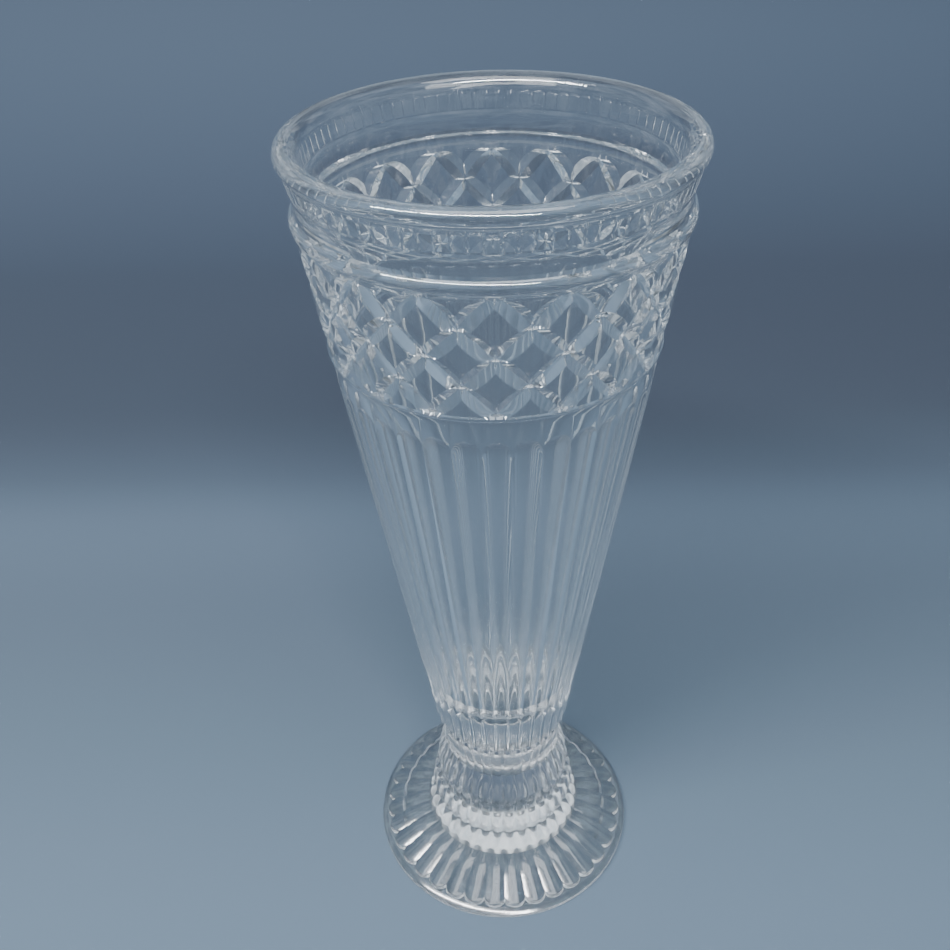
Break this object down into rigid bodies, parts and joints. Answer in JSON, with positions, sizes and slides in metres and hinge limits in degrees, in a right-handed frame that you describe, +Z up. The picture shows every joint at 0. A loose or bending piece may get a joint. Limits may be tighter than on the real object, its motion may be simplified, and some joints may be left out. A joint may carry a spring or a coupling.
{
  "type": "footed crystal vase",
  "caption": "Clear cut-crystal trumpet vase on a stepped round foot, with a band of diamonds under the lip and arched flutes down the body.",
  "frame": {"origin": "middle of the vase's underside, on the plane of the table it stands on", "axes": "+Z up along the vase's axis; the pattern repeats round it, and a column of groove crossings faces -Y"},
  "size_m": [0.1172, 0.1172, 0.2988],
  "materials": {
    "bowl_crystal": "clear colourless crystal, polished, with cut diamonds and flutes",
    "wafer_crystal": "clear colourless crystal, fused",
    "foot_crystal": "clear colourless crystal, polished, with reeds and a plain edge"
  },
  "bodies": {
    "root": {"bowl": "bowl_crystal", "wafer": "wafer_crystal", "foot": "foot_crystal"}
  },
  "joints": []
}
